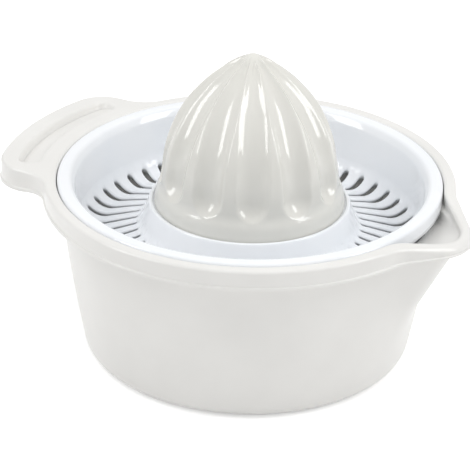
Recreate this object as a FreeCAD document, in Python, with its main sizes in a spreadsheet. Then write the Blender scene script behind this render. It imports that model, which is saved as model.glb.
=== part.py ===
import FreeCAD, Part
import math
import os
import Sketcher

# Hand citrus press: a bowl with a tab handle and a pouring spout, a slotted strainer that hangs in its rim,
# and a fluted reamer that stands on the strainer's hub. Millimetres, +Z up, +X towards the spout.

V = FreeCAD.Vector
doc = FreeCAD.newDocument("citrus_press")
sheet = doc.addObject("Spreadsheet::Sheet", "sizes")

# Driving sizes, each with one meaning.
SIZES = [
    # how far joined shapes run into each other, and how far a cut runs past what it cuts
    ("merge", 1.0),
    ("skim", 0.2),
    ("over", 10.0),
    # bowl: rim band, wall and base
    ("rim_r", 72.0),
    ("bowl_h", 64.1),
    ("band_h", 7.1),
    ("rim_t", 4.35),
    ("rim_round", 1.1),
    ("seat_depth", 4.9),
    ("bead", 0.45),
    ("bead_h", 1.3),
    ("wall_top_r", 66.3),
    ("base_r", 57.3),
    ("wall_bow", 600.0),
    ("wall_t", 2.4),
    ("wall_toe", 0.5),
    ("floor_t", 2.6),
    ("base_round", 5.5),
    ("floor_round", 4.0),
    ("foot_w", 5.5),
    ("foot_h", 0.8),
    # handle tab
    ("handle_r", 89.2),
    ("handle_hw", 35.8),
    ("handle_corner", 13.0),
    ("handle_blend", 14.0),
    ("recess_in_r", 73.2),
    ("recess_out_r", 82.2),
    ("recess_half", 22.0),
    ("recess_round", 3.8),
    ("recess_deep", 2.3),
    ("recess_shallow", 0.6),
    ("under_in_r", 75.0),
    ("under_out_r", 85.8),
    ("under_half", 20.0),
    ("under_deep", 2.6),
    # pouring spout
    ("spout_u", 83.0),
    ("spout_round", 16.5),
    ("spout_half", 49.8),
    ("spout_blend", 20.0),
    ("lip_x", 62.8),
    ("lip_slope", 14.0),
    ("lip_blend", 14.0),
    ("beak_u", 79.3),
    ("beak_round", 10.0),
    ("beak_half", 49.8),
    ("beak_lean", 27.4),
    ("beak_low_z", 18.0),
    ("beak_low_round", 16.0),
    ("beak_low_half", 62.0),
    ("beak_back", 50.0),
    ("beak_t", 2.6),
    ("channel_u", 62.9),
    ("channel_z", 52.8),
    ("channel_round", 13.4),
    # strainer
    ("seat_gap", 0.4),
    ("wall_gap", 0.8),
    ("s_proud", 0.3),
    ("s_rim_w", 4.6),
    ("s_rim_round", 1.9),
    ("s_neck", 2.4),
    ("s_t", 1.9),
    ("trough_z", 18.9),
    ("trough_r", 59.4),
    ("trough_round", 7.0),
    ("hub_z", 4.7),
    ("hub_foot_r", 38.2),
    ("hub_foot_z", 13.0),
    ("hub_round", 5.0),
    ("lip_w", 1.2),
    ("lip_h", 0.8),
    ("lip_round", 0.5),
    ("neck_round", 3.0),
    ("slot_in_r", 39.2),
    ("slot_in_w", 1.5),
    ("slot_out_r", 59.2),
    ("slot_out_w", 2.3),
    ("slot_n", 50),
    ("boss_r", 17.4),
    ("boss_t", 2.4),
    ("boss_h", 9.0),
    ("notch_gap", 0.4),
    # reamer
    ("reamer_gap", 0.5),
    ("reamer_r", 33.5),
    ("collar_r", 32.8),
    ("collar_z", 4.9),
    ("shoulder_z", 8.0),
    ("collar_round", 9.0),
    ("shoulder_round", 8.0),
    ("ogive_r", 52.3),
    ("ogive_c", 20.9),
    ("ogive_z", 8.25),
    ("tip_round", 4.0),
    ("reamer_t", 5.5),
    ("flute_n", 12),
    ("flute_round", 6.0),
    ("flute_deep", 2.9),
    ("flute_low", 4.5),
    ("flute_high", 58.0),
    ("cave_z1", 14.0),
    ("cave_z2", 30.0),
    ("cave_z3", 41.0),
    ("cave_z4", 47.0),
    ("vane_t", 2.4),
    ("vane_in", 1.2),
    ("vane_low", 0.6),
    ("vane_top", 13.0),
]

# Sizes that follow from the ones above.
DERIVED = [
    ("band_z", "bowl_h - band_h"),
    ("band_mid", "band_z + merge"),
    ("ledge_z", "bowl_h - seat_depth"),
    ("seat_r", "rim_r - rim_t"),
    ("in_top_r", "wall_top_r - wall_t"),
    ("in_base_r", "base_r - wall_t + wall_toe"),
    ("in_top_z", "ledge_z + merge"),
    ("foot_r", "base_r - base_round - foot_w"),
    ("recess_deep_z", "bowl_h - recess_deep"),
    ("recess_shallow_z", "bowl_h - recess_shallow"),
    ("over_z", "bowl_h + over"),
    ("under_z", "band_z + under_deep"),
    ("below_z", "band_z - over"),
    ("spout_c", "spout_u - spout_round"),
    ("lip_x1", "lip_x + lip_blend * sin(lip_slope * 1 deg)"),
    ("lip_z1", "bowl_h - lip_blend * (1 - cos(lip_slope * 1 deg))"),
    ("lip_far", "spout_u + over"),
    ("lip_far_z", "lip_z1 - (lip_far - lip_x1) * tan(lip_slope * 1 deg)"),
    ("beak_top_z", "band_z + merge"),
    ("beak_top_c", "beak_u + merge * tan(beak_lean * 1 deg) - beak_round"),
    ("beak_low_c", "beak_u - (band_z - beak_low_z) * tan(beak_lean * 1 deg) - beak_low_round"),
    ("beak_in_z", "ledge_z + skim"),
    ("beak_in_c", "beak_u + (beak_in_z - band_z) * tan(beak_lean * 1 deg) - beak_round"),
    ("beak_in_round", "beak_round - beak_t"),
    ("channel_c", "channel_u - channel_round"),
    ("s_rim_out", "seat_r - seat_gap"),
    ("s_rim_in", "s_rim_out - s_rim_w"),
    ("s_rim_top", "seat_depth + s_proud"),
    ("s_wall_out", "in_top_r - wall_gap"),
    ("s_wall_in", "s_wall_out - s_t"),
    ("trough_out_r", "trough_r + s_t"),
    ("floor_slope", "atan((trough_z - hub_foot_z) / (trough_r - hub_foot_r))"),
    ("trough_low_z", "trough_z + s_t * tan(floor_slope) + s_t / cos(floor_slope)"),
    ("hub_low_z", "hub_z + s_t"),
    ("lip_in_r", "reamer_r + reamer_gap"),
    ("lip_out_r", "lip_in_r + lip_w"),
    ("lip_top_z", "hub_z - lip_h"),
    ("hub_slope", "atan((hub_foot_z - lip_top_z) / (hub_foot_r - lip_out_r))"),
    ("foot_shift", "s_t * sin((hub_slope + floor_slope) / 2) / cos((hub_slope - floor_slope) / 2)"),
    ("foot_low_r", "hub_foot_r - foot_shift"),
    ("foot_low_z", "hub_foot_z + s_t / cos(floor_slope) - foot_shift * tan(floor_slope)"),
    ("hub_low_r", "foot_low_r - (foot_low_z - hub_low_z) / tan(hub_slope)"),
    ("slot_in_half", "slot_in_w / 2"),
    ("slot_out_half", "slot_out_w / 2"),
    ("slot_in_c", "slot_in_r + slot_in_half"),
    ("slot_out_c", "slot_out_r - slot_out_half"),
    ("boss_in_r", "boss_r - boss_t"),
    ("notch_half", "vane_t / 2 + notch_gap"),
    ("notch_l", "boss_r + over"),
    ("reamer_z", "ledge_z - hub_z"),
    ("shoulder_r", "sqrt(ogive_r ^ 2 - (shoulder_z - ogive_z) ^ 2) - ogive_c"),
    ("tip_rise", "sqrt((ogive_r - tip_round) ^ 2 - ogive_c ^ 2)"),
    ("tip_r", "ogive_c * ogive_r / (ogive_r - tip_round) - ogive_c"),
    ("tip_z", "ogive_z + tip_rise * ogive_r / (ogive_r - tip_round)"),
    ("reamer_top", "ogive_z + tip_rise + tip_round"),
    ("cave_r", "ogive_r - reamer_t"),
    ("cave_r1", "sqrt(cave_r ^ 2 - (cave_z1 - ogive_z) ^ 2) - ogive_c"),
    ("cave_r2", "sqrt(cave_r ^ 2 - (cave_z2 - ogive_z) ^ 2) - ogive_c"),
    ("cave_r3", "sqrt(cave_r ^ 2 - (cave_z3 - ogive_z) ^ 2) - ogive_c"),
    ("cave_r4", "sqrt(cave_r ^ 2 - (cave_z4 - ogive_z) ^ 2) - ogive_c"),
    ("vane_half", "vane_t / 2"),
    ("lip_wide", "2 * lip_far"),
    ("seat_cut", "seat_depth + over"),
    ("trough_low_round", "trough_round + s_t"),
    ("hub_low_round", "hub_round + s_t"),
    ("slot_cut", "trough_low_z + over"),
    ("notch_cut", "boss_h + over"),
    ("flute_d0", "ogive_r + flute_round - flute_deep"),
    ("flute_d1", "ogive_r + flute_round"),
    ("flute_run", "cos((flute_high - flute_low) * 1 deg)"),
    ("flute_e", "(flute_d1 ^ 2 - flute_d0 ^ 2) / (2 * (flute_d0 - flute_d1 * flute_run))"),
    ("flute_path", "flute_d0 + flute_e"),
    ("flute_x", "-ogive_c - flute_e * cos(flute_low * 1 deg)"),
    ("flute_z", "ogive_z - flute_e * sin(flute_low * 1 deg)"),
    ("flute_end_x", "flute_d0 * cos(flute_low * 1 deg) - ogive_c"),
    ("flute_end_z", "flute_d0 * sin(flute_low * 1 deg) + ogive_z"),
    ("flute_sweep", "flute_high - flute_low"),
    ("vane_l", "cave_r1 + vane_in"),
    ("vane_h", "vane_top - vane_low"),
]

row = 1
for name, value in SIZES:
    sheet.set("A%d" % row, name)
    sheet.set("B%d" % row, str(value))
    sheet.setAlias("B%d" % row, name)
    row += 1
for name, formula in DERIVED:
    sheet.set("A%d" % row, name)
    sheet.set("B%d" % row, "=" + formula)
    sheet.setAlias("B%d" % row, name)
    row += 1
doc.recompute()


def val(name):
    """A size by its name; None is zero, and a leading minus turns the sign."""
    if name is None:
        return 0.0
    if name.startswith("-"):
        return -val(name[1:])
    return float(sheet.get(name))


def bind(sketch, index, name):
    """Tie a constraint to a size."""
    text = "-sizes." + name[1:] if name.startswith("-") else "sizes." + name
    sketch.setExpression("Constraints[%d]" % index, text)


def origin_part(body, role):
    for item in body.Origin.OriginFeatures:
        if item.Role == role:
            return item
    raise ValueError(role)


def new_sketch(body, name, plane, lift=None, turn=None):
    """A sketch on one of the body's planes, lifted off it by a named size, turned by (axis, degrees)."""
    sketch = body.newObject("Sketcher::SketchObject", name)
    sketch.AttachmentSupport = [(origin_part(body, plane), "")]
    sketch.MapMode = "FlatFace"
    rotation = FreeCAD.Rotation() if turn is None else FreeCAD.Rotation(turn[0], turn[1])
    sketch.AttachmentOffset = FreeCAD.Placement(V(0, 0, val(lift)), rotation)
    if lift is not None:
        text = "-sizes." + lift[1:] if lift.startswith("-") else "sizes." + lift
        sketch.setExpression("AttachmentOffset.Base.z", text)
    return sketch


def place_point(sketch, geo, pos, x, y):
    """Hold a sketch point at two named sizes."""
    for kind, axis, name in (("DistanceX", -2, x), ("DistanceY", -1, y)):
        if name is None:
            sketch.addConstraint(Sketcher.Constraint("PointOnObject", geo, pos, axis))
        else:
            index = sketch.addConstraint(Sketcher.Constraint(kind, -1, 1, geo, pos, val(name)))
            bind(sketch, index, name)


def arc_between(centre, start, end):
    """Anticlockwise arc about a centre."""
    radius = (start - centre).Length
    a0 = math.atan2(start.y - centre.y, start.x - centre.x)
    a1 = math.atan2(end.y - centre.y, end.x - centre.x)
    if a1 <= a0:
        a1 += 2 * math.pi
    return Part.ArcOfCircle(Part.Circle(centre, V(0, 0, 1), radius), a0, a1)


def closed_outline(sketch, nodes, arcs=None):
    """Closed outline through named points; arcs maps a side to (radius, +1 if its centre is on the left)."""
    arcs = arcs or {}
    points = [V(val(x), val(y), 0) for x, y in nodes]
    ends = []
    for i, p in enumerate(points):
        q = points[(i + 1) % len(points)]
        if i not in arcs:
            geo = sketch.addGeometry(Part.LineSegment(p, q), False)
            ends.append((geo, 1, 2))
            continue
        name, side = arcs[i]
        radius = val(name)
        chord = q - p
        rise = math.sqrt(radius ** 2 - (chord.Length / 2) ** 2)
        left = V(-chord.y, chord.x, 0) / chord.Length
        centre = (p + q) / 2 + left * rise * side
        if side > 0:
            geo = sketch.addGeometry(arc_between(centre, p, q), False)
            ends.append((geo, 1, 2))
        else:
            geo = sketch.addGeometry(arc_between(centre, q, p), False)
            ends.append((geo, 2, 1))
        index = sketch.addConstraint(Sketcher.Constraint("Radius", geo, radius))
        bind(sketch, index, name)
    for i, (geo, first, last) in enumerate(ends):
        after = ends[(i + 1) % len(ends)]
        sketch.addConstraint(Sketcher.Constraint("Coincident", geo, last, after[0], after[1]))
    for (geo, first, last), (x, y) in zip(ends, nodes):
        place_point(sketch, geo, first, x, y)


class Chain:
    """Closed run of tangent lines and arcs."""

    def __init__(self, sketch):
        self.sketch = sketch
        self.ends = []

    def line(self, p, q):
        geo = self.sketch.addGeometry(Part.LineSegment(p, q), False)
        self.ends.append((geo, 1, 2))
        return geo

    def arc(self, centre, p, q, left=True):
        if left:
            geo = self.sketch.addGeometry(arc_between(centre, p, q), False)
            self.ends.append((geo, 1, 2))
        else:
            geo = self.sketch.addGeometry(arc_between(centre, q, p), False)
            self.ends.append((geo, 2, 1))
        return geo

    def close(self):
        for i, (geo, first, last) in enumerate(self.ends):
            after = self.ends[(i + 1) % len(self.ends)]
            self.sketch.addConstraint(Sketcher.Constraint("Tangent", geo, last, after[0], after[1]))

    def hold(self, kind, geo, value, text, pos=None):
        if kind == "Radius":
            index = self.sketch.addConstraint(Sketcher.Constraint("Radius", geo, value))
        elif kind == "Angle":
            index = self.sketch.addConstraint(Sketcher.Constraint("Angle", geo, value))
        else:
            index = self.sketch.addConstraint(Sketcher.Constraint(kind, -1, 1, geo, pos, value))
        self.sketch.setExpression("Constraints[%d]" % index, text)

    def centre_on_origin(self, geo):
        self.sketch.addConstraint(Sketcher.Constraint("Coincident", geo, 3, -1, 1))

    def centre_on_x(self, geo):
        self.sketch.addConstraint(Sketcher.Constraint("PointOnObject", geo, 3, -1))


def rim_outline(sketch, grow, handle):
    """The rim seen from above, spout included, grown outwards by a size; with or without the handle tab."""
    o = val(grow)
    add = "" if grow is None else " + sizes." + grow if not grow.startswith("-") else " - sizes." + grow[1:]
    cut = "" if grow is None else " - sizes." + grow if not grow.startswith("-") else " + sizes." + grow[1:]
    rim, tip = val("rim_r"), val("spout_round")
    half, blend = math.radians(val("spout_half")), val("spout_blend")
    tip_centre = V(val("spout_c"), 0, 0)
    chain = Chain(sketch)
    spout = {}
    for s in (1, -1):
        n = V(math.sin(half), s * math.cos(half), 0)
        t = V(-math.cos(half), s * math.sin(half), 0)
        reach = n.dot(tip_centre) + tip + blend
        centre = n * reach - t * math.sqrt((rim + blend) ** 2 - reach ** 2)
        root = centre * ((rim + o) / centre.Length)
        spout[s] = (tip_centre + n * (tip + o), centre - n * (blend - o), root, centre)
    geo_tip = chain.arc(tip_centre, spout[-1][0], spout[1][0])
    line_up = chain.line(spout[1][0], spout[1][1])
    blend_up = chain.arc(spout[1][3], spout[1][1], spout[1][2], left=False)
    rims = []
    if handle:
        outer, wide = val("handle_r"), val("handle_hw")
        corner, fair = val("handle_corner"), val("handle_blend")
        tab = {}
        for s in (1, -1):
            cc = V(-math.sqrt((outer - corner) ** 2 - (wide - corner) ** 2), s * (wide - corner), 0)
            cf = V(-math.sqrt((rim + fair) ** 2 - (wide + fair) ** 2), s * (wide + fair), 0)
            tab[s] = (cf * ((rim + o) / cf.Length), V(cf.x, s * (wide + o), 0), V(cc.x, s * (wide + o), 0),
                      cc * ((outer + o) / cc.Length), cf, cc)
        up, low = tab[1], tab[-1]
        rims.append(chain.arc(V(), spout[1][2], up[0]))
        fair_up = chain.arc(up[4], up[0], up[1], left=False)
        side_up = chain.line(up[1], up[2])
        corner_up = chain.arc(up[5], up[2], up[3])
        edge = chain.arc(V(), up[3], low[3])
        corner_low = chain.arc(low[5], low[3], low[2])
        side_low = chain.line(low[2], low[1])
        fair_low = chain.arc(low[4], low[1], low[0], left=False)
        rims.append(chain.arc(V(), low[0], spout[-1][2]))
    else:
        rims.append(chain.arc(V(), spout[1][2], spout[-1][2]))
    blend_low = chain.arc(spout[-1][3], spout[-1][2], spout[-1][1], left=False)
    line_low = chain.line(spout[-1][1], spout[-1][0])
    chain.close()
    for geo in rims:
        chain.centre_on_origin(geo)
        chain.hold("Radius", geo, rim + o, "sizes.rim_r" + add)
    chain.centre_on_x(geo_tip)
    chain.hold("Radius", geo_tip, tip + o, "sizes.spout_round" + add)
    chain.hold("DistanceX", geo_tip, tip_centre.x, "sizes.spout_c", 3)
    for geo in (blend_up, blend_low):
        chain.hold("Radius", geo, blend - o, "sizes.spout_blend" + cut)
    chain.hold("Angle", line_up, math.pi - half, "180 deg - sizes.spout_half * 1 deg")
    chain.hold("Angle", line_low, half, "sizes.spout_half * 1 deg")
    if handle:
        chain.centre_on_origin(edge)
        chain.hold("Radius", edge, outer + o, "sizes.handle_r" + add)
        for geo in (corner_up, corner_low):
            chain.hold("Radius", geo, corner + o, "sizes.handle_corner" + add)
        for geo in (fair_up, fair_low):
            chain.hold("Radius", geo, fair - o, "sizes.handle_blend" + cut)
        reach = "sizes.handle_hw" + add
        for geo, sign, text in ((side_up, 1, reach), (side_low, -1, "-(" + reach + ")")):
            sketch.addConstraint(Sketcher.Constraint("Horizontal", geo))
            chain.hold("DistanceY", geo, sign * (wide + o), text, 1)


def beak_section(sketch, centre, rounding, half, back):
    """Blunt wedge seen from above, pointing along +X."""
    c, r, a, b = V(val(centre), 0, 0), val(rounding), math.radians(val(half)), val(back)
    up = c + V(math.sin(a), math.cos(a), 0) * r
    run = (up.x - b) / math.cos(a)
    far = V(b, up.y + run * math.sin(a), 0)
    low, near = V(up.x, -up.y, 0), V(far.x, -far.y, 0)
    tip = sketch.addGeometry(arc_between(c, low, up), False)
    side_up = sketch.addGeometry(Part.LineSegment(up, far), False)
    rear = sketch.addGeometry(Part.LineSegment(far, near), False)
    side_low = sketch.addGeometry(Part.LineSegment(near, low), False)
    for kind, g1, p1, g2, p2 in (("Tangent", tip, 2, side_up, 1), ("Coincident", side_up, 2, rear, 1),
                                 ("Coincident", rear, 2, side_low, 1), ("Tangent", side_low, 2, tip, 1)):
        sketch.addConstraint(Sketcher.Constraint(kind, g1, p1, g2, p2))
    sketch.addConstraint(Sketcher.Constraint("PointOnObject", tip, 3, -1))
    sketch.addConstraint(Sketcher.Constraint("Vertical", rear))
    bind(sketch, sketch.addConstraint(Sketcher.Constraint("Radius", tip, r)), rounding)
    bind(sketch, sketch.addConstraint(Sketcher.Constraint("DistanceX", -1, 1, tip, 3, c.x)), centre)
    bind(sketch, sketch.addConstraint(Sketcher.Constraint("DistanceX", -1, 1, rear, 1, b)), back)
    index = sketch.addConstraint(Sketcher.Constraint("Angle", side_up, math.pi - a))
    sketch.setExpression("Constraints[%d]" % index, "180 deg - sizes.%s * 1 deg" % half)
    index = sketch.addConstraint(Sketcher.Constraint("Angle", side_low, a))
    sketch.setExpression("Constraints[%d]" % index, "sizes.%s * 1 deg" % half)


def turned(body, kind, name, sketch):
    """Revolution or Groove about the sketch's vertical axis."""
    feature = body.newObject("PartDesign::" + kind, name)
    feature.Profile = sketch
    feature.ReferenceAxis = (sketch, ["V_Axis"])
    feature.Angle = 360
    body.Tip = feature
    doc.recompute()
    return feature


def swept(body, kind, name, sketch, length, flip=False):
    """Pad or Pocket of a named length."""
    feature = body.newObject("PartDesign::" + kind, name)
    feature.Profile = sketch
    feature.Type = "Length"
    feature.Length = val(length)
    feature.setExpression("Length", "sizes." + length)
    feature.Reversed = flip
    body.Tip = feature
    doc.recompute()
    return feature


def lofted(body, kind, name, sketches, ruled):
    feature = body.newObject("PartDesign::" + kind, name)
    feature.Profile = sketches[0]
    feature.Sections = sketches[1:]
    feature.Ruled = ruled
    body.Tip = feature
    doc.recompute()
    return feature


def rounded(body, name, base, edges, size):
    feature = body.newObject("PartDesign::Fillet", name)
    feature.Base = (base, edges)
    feature.Radius = val(size)
    feature.setExpression("Radius", "sizes." + size)
    body.Tip = feature
    doc.recompute()
    return feature


def rings(feature, places):
    """Names of the circular edges about Z at the given (radius, height) pairs."""
    found = []
    for i, edge in enumerate(feature.Shape.Edges):
        if edge.Degenerated or not isinstance(edge.Curve, Part.Circle):
            continue
        if math.hypot(edge.Curve.Center.x, edge.Curve.Center.y) > 0.01:
            continue
        for r, z in places:
            if abs(edge.Curve.Radius - r) < 0.02 and abs(edge.Curve.Center.z - z) < 0.02:
                found.append("Edge%d" % (i + 1))
    return found


def patterned(body, name, features, number):
    feature = body.newObject("PartDesign::PolarPattern", name)
    feature.Originals = features
    feature.Axis = (origin_part(body, "Z_Axis"), [""])
    feature.Angle = 360
    feature.Occurrences = int(val(number))
    feature.setExpression("Occurrences", "sizes." + number)
    body.Tip = feature
    doc.recompute()
    return feature


def top_edges(feature, low):
    """Edges round the upward faces that lie above a height."""
    shape = feature.Shape
    tops = []
    for face in shape.Faces:
        u0, u1, v0, v1 = face.ParameterRange
        middle = face.CenterOfMass
        normal = face.normalAt((u0 + u1) / 2, (v0 + v1) / 2)
        if middle.z > low and normal.z > 0.5:
            tops.append(face)
    used = {}
    for face in tops:
        for edge in face.Edges:
            used.setdefault(edge.hashCode(), []).append(edge)
    names = []
    for i, edge in enumerate(shape.Edges):
        if len(used.get(edge.hashCode(), [])) == 1:
            names.append("Edge%d" % (i + 1))
    return names


def upright_edges(feature, places):
    """Names of the straight upright edges nearest the given (x, y) places."""
    found = []
    for i, edge in enumerate(feature.Shape.Edges):
        if edge.Degenerated or len(edge.Vertexes) != 2 or not isinstance(edge.Curve, Part.Line):
            continue
        a, b = edge.Vertexes[0].Point, edge.Vertexes[1].Point
        if math.hypot(a.x - b.x, a.y - b.y) > 0.01:
            continue
        for x, y in places:
            if math.hypot(a.x - x, a.y - y) < 0.05:
                found.append("Edge%d" % (i + 1))
    return found


def sector_corners(r_in, r_out, half):
    """Where the corners of a ring sector about -X stand."""
    a = math.radians(val(half))
    return [(-val(r) * math.cos(a), s * val(r) * math.sin(a)) for r in (r_in, r_out) for s in (1, -1)]


def sector_cut(body, name, nodes, half):
    """Cut a profile turned about Z by plus and minus a half angle about -X."""
    sketch = new_sketch(body, name + "_profile", "XZ_Plane", None, (V(0, 1, 0), -val(half)))
    closed_outline(sketch, nodes)
    sketch.setExpression("AttachmentOffset.Rotation.Angle", "sizes.%s * 1 deg" % half)
    feature = body.newObject("PartDesign::Groove", name)
    feature.Profile = sketch
    feature.ReferenceAxis = (sketch, ["V_Axis"])
    feature.Angle = 2 * val(half)
    feature.Reversed = True
    feature.setExpression("Angle", "2 * sizes.%s * 1 deg" % half)
    body.Tip = feature
    doc.recompute()
    return feature


def cross_outline(sketch, wide, long):
    """Cross of two equal bars, by the names of half a bar's width and half its length."""
    corners = []
    for near, far in ((wide, long), ("-" + wide, "-" + long)):
        other = "-" + wide if near == wide else wide
        corners += [(far, other), (far, near), (near, near), (near, far), (other, far), (other, near)]
    closed_outline(sketch, corners)


# The bowl: wall, rim band with handle tab and spout, then everything that is hollow.
bowl = doc.addObject("PartDesign::Body", "bowl")
bowl.Label = "bowl"
profile = new_sketch(bowl, "wall_profile", "XZ_Plane")
closed_outline(profile, [(None, None), ("base_r", None), ("wall_top_r", "band_z"),
                         ("wall_top_r", "band_mid"), (None, "band_mid")], {1: ("wall_bow", 1)})
wall = turned(bowl, "Revolution", "wall", profile)
wall = rounded(bowl, "base_edge", wall, rings(wall, [(val("base_r"), 0)]), "base_round")
outline = new_sketch(bowl, "band_outline", "XY_Plane", "band_z")
rim_outline(outline, None, True)
band = swept(bowl, "Pad", "band", outline, "band_h")
profile = new_sketch(bowl, "lip_profile", "XZ_Plane", "-lip_far")
closed_outline(profile, [("lip_x", "bowl_h"), ("lip_x1", "lip_z1"), ("lip_far", "lip_far_z"),
                         ("lip_far", "over_z"), ("lip_x", "over_z")], {0: ("lip_blend", -1)})
lip = swept(bowl, "Pocket", "lip", profile, "lip_wide", True)
outline = new_sketch(bowl, "seat_outline", "XY_Plane", "ledge_z")
rim_outline(outline, "-rim_t", False)
seat = swept(bowl, "Pocket", "seat", outline, "seat_cut", True)
rim = rounded(bowl, "rim_edges", seat, top_edges(seat, val("ledge_z") + 0.1), "rim_round")
outline = new_sketch(bowl, "bead_outline", "XY_Plane", "band_z")
rim_outline(outline, "bead", True)
bead = swept(bowl, "Pad", "bead_ring", outline, "bead_h")
upper = new_sketch(bowl, "beak_upper", "XY_Plane", "beak_top_z")
beak_section(upper, "beak_top_c", "beak_round", "beak_half", "beak_back")
lower = new_sketch(bowl, "beak_lower", "XY_Plane", "beak_low_z")
beak_section(lower, "beak_low_c", "beak_low_round", "beak_low_half", "beak_back")
beak = lofted(bowl, "AdditiveLoft", "beak", [upper, lower], True)
profile = new_sketch(bowl, "inside_profile", "XZ_Plane")
closed_outline(profile, [(None, "floor_t"), ("in_base_r", "floor_t"), ("in_top_r", "band_z"),
                         ("in_top_r", "in_top_z"), (None, "in_top_z")], {1: ("wall_bow", 1)})
inside = turned(bowl, "Groove", "inside", profile)
upper = new_sketch(bowl, "channel_upper", "XY_Plane", "beak_in_z")
beak_section(upper, "beak_in_c", "beak_in_round", "beak_half", "beak_back")
lower = new_sketch(bowl, "channel_lower", "XY_Plane", "channel_z")
beak_section(lower, "channel_c", "channel_round", "beak_low_half", "beak_back")
channel = lofted(bowl, "SubtractiveLoft", "channel", [upper, lower], True)
floor_ring = rings(channel, [(val("in_base_r"), val("floor_t"))])
rounded(bowl, "floor_edge", channel, floor_ring, "floor_round")
foot_sketch = new_sketch(bowl, "foot_outline", "XY_Plane")
circle = foot_sketch.addGeometry(Part.Circle(V(), V(0, 0, 1), val("foot_r")), False)
foot_sketch.addConstraint(Sketcher.Constraint("Coincident", circle, 3, -1, 1))
bind(foot_sketch, foot_sketch.addConstraint(Sketcher.Constraint("Radius", circle, val("foot_r"))), "foot_r")
swept(bowl, "Pocket", "foot_hollow", foot_sketch, "foot_h", True)
section = [("-recess_in_r", "over_z"), ("-recess_out_r", "over_z"), ("-recess_out_r", "recess_deep_z"),
           ("-recess_in_r", "recess_shallow_z")]
recess = sector_cut(bowl, "recess", section, "recess_half")
corners = sector_corners("recess_in_r", "recess_out_r", "recess_half")
rounded(bowl, "recess_ends", recess, upright_edges(recess, corners), "recess_round")
section = [("-under_in_r", "below_z"), ("-under_in_r", "under_z"), ("-under_out_r", "under_z"),
           ("-under_out_r", "below_z")]
sector_cut(bowl, "under", section, "under_half")

# The strainer, drawn with its rim's underside at zero and set on the ledge inside the bowl's rim.
strainer = doc.addObject("PartDesign::Body", "strainer")
strainer.Label = "strainer"
strainer.Placement.Base.z = val("ledge_z")
strainer.setExpression("Placement.Base.z", "sizes.ledge_z")
profile = new_sketch(strainer, "dish_profile", "XZ_Plane")
closed_outline(profile, [(None, "-hub_z"), (None, "-hub_low_z"), ("hub_low_r", "-hub_low_z"),
                         ("foot_low_r", "-foot_low_z"), ("trough_out_r", "-trough_low_z"),
                         ("s_wall_out", None), ("s_rim_out", None), ("s_rim_out", "s_rim_top"),
                         ("s_rim_in", "s_rim_top"), ("s_wall_in", "s_neck"), ("trough_r", "-trough_z"),
                         ("hub_foot_r", "-hub_foot_z"), ("lip_out_r", "-lip_top_z"), ("lip_in_r", "-lip_top_z"),
                         ("lip_in_r", "-hub_z")])
dish = turned(strainer, "Revolution", "dish", profile)
for name, places, size in (
        ("trough_edge", [("trough_r", "-trough_z")], "trough_round"),
        ("trough_low_edge", [("trough_out_r", "-trough_low_z")], "trough_low_round"),
        ("hub_edge", [("hub_foot_r", "-hub_foot_z")], "hub_round"),
        ("hub_low_edge", [("foot_low_r", "-foot_low_z")], "hub_low_round"),
        ("rim_top_edges", [("s_rim_out", "s_rim_top"), ("s_rim_in", "s_rim_top")], "s_rim_round"),
        ("neck_edge", [("s_wall_in", "s_neck")], "neck_round"),
        ("lip_edge", [("lip_out_r", "-lip_top_z")], "lip_round")):
    dish = rounded(strainer, name, dish, rings(dish, [(val(r), val(z)) for r, z in places]), size)
boss_sketch = new_sketch(strainer, "boss_outline", "XY_Plane", "-hub_z")
for name in ("boss_r", "boss_in_r"):
    circle = boss_sketch.addGeometry(Part.Circle(V(), V(0, 0, 1), val(name)), False)
    boss_sketch.addConstraint(Sketcher.Constraint("Coincident", circle, 3, -1, 1))
    bind(boss_sketch, boss_sketch.addConstraint(Sketcher.Constraint("Radius", circle, val(name))), name)
swept(strainer, "Pad", "boss", boss_sketch, "boss_h")
notch_sketch = new_sketch(strainer, "notch_outline", "XY_Plane", "-hub_z")
cross_outline(notch_sketch, "notch_half", "notch_l")
swept(strainer, "Pocket", "notches", notch_sketch, "notch_cut", True)
slot_sketch = new_sketch(strainer, "slot_outline", "XY_Plane")
near, far = val("slot_in_c"), val("slot_out_c")
near_half, far_half = val("slot_in_half"), val("slot_out_half")
ends = [V(far, -far_half, 0), V(far, far_half, 0), V(near, near_half, 0), V(near, -near_half, 0)]
end_far = slot_sketch.addGeometry(arc_between(V(far, 0, 0), ends[0], ends[1]), False)
side_up = slot_sketch.addGeometry(Part.LineSegment(ends[1], ends[2]), False)
end_near = slot_sketch.addGeometry(arc_between(V(near, 0, 0), ends[2], ends[3]), False)
side_low = slot_sketch.addGeometry(Part.LineSegment(ends[3], ends[0]), False)
for a, pa, b, pb in ((end_far, 2, side_up, 1), (side_up, 2, end_near, 1), (end_near, 2, side_low, 1),
                     (side_low, 2, end_far, 1)):
    slot_sketch.addConstraint(Sketcher.Constraint("Tangent", a, pa, b, pb))
place_point(slot_sketch, end_far, 3, "slot_out_c", None)
place_point(slot_sketch, end_near, 3, "slot_in_c", None)
for end, name in ((end_far, "slot_out_half"), (end_near, "slot_in_half")):
    bind(slot_sketch, slot_sketch.addConstraint(Sketcher.Constraint("Radius", end, val(name))), name)
slot = swept(strainer, "Pocket", "slot", slot_sketch, "slot_cut")
patterned(strainer, "slots", [slot], "slot_n")

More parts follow.
